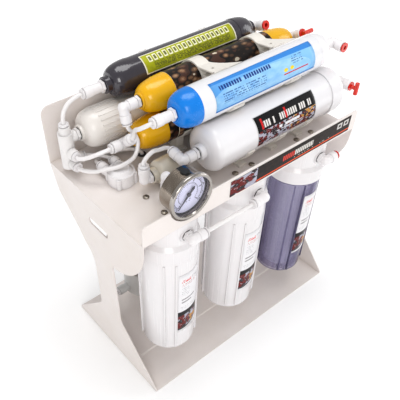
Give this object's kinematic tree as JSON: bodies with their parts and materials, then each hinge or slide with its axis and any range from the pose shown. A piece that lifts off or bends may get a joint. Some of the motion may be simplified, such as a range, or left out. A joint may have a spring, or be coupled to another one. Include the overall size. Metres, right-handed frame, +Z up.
{
  "type": "reverse osmosis unit",
  "caption": "Domestic reverse osmosis water unit: a folded stand carries screw-on filter housings below and inline cartridges, a membrane vessel, a pressure gauge and push-in tubing above.",
  "frame": {"origin": "middle of the underside of the base plate, on the floor", "axes": "+X to the right along the front, +Y to the back, +Z up"},
  "size_m": [0.4775, 0.2595, 0.4925],
  "materials": {
    "powder_coat": "satin powder coat",
    "printed_label": "printed film",
    "screw_steel": "bright",
    "housing_white": "moulded gloss",
    "clear_blue": "clear blue plastic",
    "rubber": "matte",
    "spun_fibre": "matte",
    "fitting_white": "moulded gloss",
    "vessel_white": "moulded gloss",
    "grey_gloss": "moulded gloss",
    "yellow_gloss": "moulded gloss",
    "blue_gloss": "moulded gloss",
    "media": "granular",
    "clip_white": "satin",
    "tube_white": "satin",
    "red": "moulded gloss",
    "gauge_steel": "polished",
    "glass": "clear",
    "dial": "printed",
    "pointer_black": "satin",
    "brass": "machined",
    "motor_steel": "satin",
    "pump_black": "moulded matte"
  },
  "bodies": {
    "unit_frame": {"base_plate": "powder_coat", "left_side_panel": "powder_coat", "right_side_panel": "powder_coat", "shelf_deck": "powder_coat", "fascia_label": "printed_label", "shelf_screws": "screw_steel", "housing_cap_1": "housing_white", "housing_cap_2": "housing_white", "housing_cap_3": "housing_white", "housing_elbows": "fitting_white", "membrane_housing": "vessel_white", "membrane_cap": "vessel_white", "membrane_element": "spun_fibre", "uf_housing": "vessel_white", "grey_shell": "grey_gloss", "grey_end_caps": "grey_gloss", "grey_media": "media", "yellow_shells": "yellow_gloss", "yellow_end_caps": "yellow_gloss", "yellow_media": "media", "blue_shell": "vessel_white", "blue_inlet_cap": "blue_gloss", "blue_outlet_cap": "vessel_white", "blue_media": "media", "shelf_clips": "clip_white", "double_clips": "clip_white", "shutoff_valve_body": "fitting_white", "flow_restrictor": "fitting_white", "cartridge_fittings": "fitting_white", "tube_manifold": "fitting_white", "shelf_collets": "fitting_white", "housing_collets": "fitting_white", "rubber_seals": "rubber", "tubes": "tube_white", "gauge_case": "gauge_steel", "gauge_bezel": "gauge_steel", "gauge_window": "glass", "gauge_dial": "dial", "gauge_movement": "brass", "gauge_bracket": "powder_coat", "pump_motor_case": "motor_steel", "pump_head": "pump_black"},
    "bowl_1": {"bowl_1": "housing_white"},
    "bowl_2": {"bowl_2": "housing_white"},
    "bowl_3": {"bowl_3": "clear_blue"},
    "housing_1_cartridge": {"carbon_block_cartridge": "spun_fibre"},
    "housing_2_cartridge": {"carbon_cartridge": "spun_fibre"},
    "housing_3_cartridge": {"sediment_cartridge": "spun_fibre"},
    "uf_bundle": {"uf_fibre_bundle": "spun_fibre"},
    "uf_screw_cap": {"uf_cap": "vessel_white", "uf_end_elbow": "fitting_white"},
    "uf_stop_plug": {"uf_plug": "red"},
    "yellow_stop_plug": {"yellow_plug": "red"},
    "feed_release_collet": {"feed_collet": "red"},
    "grey_release_collet": {"grey_collet": "red"},
    "blue_release_collet": {"blue_collet": "red"},
    "valve_piston": {"shutoff_piston": "rubber"},
    "motor_rotor": {"pump_rotor": "motor_steel"},
    "pointer": {"gauge_pointer": "pointer_black"},
    "sector": {"gauge_sector": "brass"}
  },
  "joints": [
    {"name": "bowl_1_unscrew", "type": "hinge", "parent": "housing_1_cartridge", "child": "bowl_1", "pos_m": [-0.1425, -0.06, 0.281], "axis": [0, 0, -1], "range_deg": [0, 720]},
    {"name": "bowl_1_drop", "type": "slide", "parent": "unit_frame", "child": "housing_1_cartridge", "axis": [0, 0, -1], "range_m": [0, 0.02]},
    {"name": "bowl_2_unscrew", "type": "hinge", "parent": "housing_2_cartridge", "child": "bowl_2", "pos_m": [0, -0.06, 0.281], "axis": [0, 0, -1], "range_deg": [0, 720]},
    {"name": "bowl_2_drop", "type": "slide", "parent": "unit_frame", "child": "housing_2_cartridge", "axis": [0, 0, -1], "range_m": [0, 0.02]},
    {"name": "bowl_3_unscrew", "type": "hinge", "parent": "housing_3_cartridge", "child": "bowl_3", "pos_m": [0.1425, -0.06, 0.281], "axis": [0, 0, -1], "range_deg": [0, 720]},
    {"name": "bowl_3_drop", "type": "slide", "parent": "unit_frame", "child": "housing_3_cartridge", "axis": [0, 0, -1], "range_m": [0, 0.02]},
    {"name": "uf_cap_unscrew", "type": "hinge", "parent": "uf_bundle", "child": "uf_screw_cap", "pos_m": [0.183, -0.04, 0.4], "axis": [1, 0, 0], "range_deg": [0, 720]},
    {"name": "uf_cap_draw", "type": "slide", "parent": "unit_frame", "child": "uf_bundle", "axis": [1, 0, 0], "range_m": [0, 0.018]},
    {"name": "uf_plug_pull", "type": "slide", "parent": "uf_screw_cap", "child": "uf_stop_plug", "axis": [0, -1, 0], "range_m": [0, 0.015]},
    {"name": "yellow_plug_pull", "type": "slide", "parent": "unit_frame", "child": "yellow_stop_plug", "axis": [0, -0.8575, 0.5145], "range_m": [0, 0.015]},
    {"name": "feed_collet_press", "type": "slide", "parent": "unit_frame", "child": "feed_release_collet", "axis": [-1, 0, 0], "range_m": [0, 0.0015]},
    {"name": "grey_collet_press", "type": "slide", "parent": "unit_frame", "child": "grey_release_collet", "axis": [0, 0.9285, -0.3714], "range_m": [0, 0.0015]},
    {"name": "blue_collet_press", "type": "slide", "parent": "unit_frame", "child": "blue_release_collet", "axis": [0, 1, 0], "range_m": [0, 0.0015]},
    {"name": "valve_piston_lift", "type": "slide", "parent": "unit_frame", "child": "valve_piston", "axis": [0, 0, 1], "range_m": [0, 0.0018]},
    {"name": "pump_rotor_spin", "type": "hinge", "parent": "unit_frame", "child": "motor_rotor", "pos_m": [-0.112, 0.062, 0.17], "axis": [0, 0, 1], "continuous": true},
    {"name": "pointer_turn", "type": "hinge", "parent": "unit_frame", "child": "pointer", "pos_m": [-0.1365, -0.116, 0.3955], "axis": [0, 1, 0], "range_deg": [0, 270]},
    {"name": "sector_turn", "type": "hinge", "parent": "unit_frame", "child": "sector", "pos_m": [-0.1365, -0.116, 0.3811], "axis": [0, 1, 0], "range_deg": [-54, 0]}
  ],
  "couplings": [
    {"joint": "bowl_1_drop", "follows": "bowl_1_unscrew", "m_per_rad": 0.0015914},
    {"joint": "bowl_2_drop", "follows": "bowl_2_unscrew", "m_per_rad": 0.0015914},
    {"joint": "bowl_3_drop", "follows": "bowl_3_unscrew", "m_per_rad": 0.0015914},
    {"joint": "uf_cap_draw", "follows": "uf_cap_unscrew", "m_per_rad": 0.0014323},
    {"joint": "pointer_turn", "follows": "sector_turn", "ratio": -5}
  ]
}
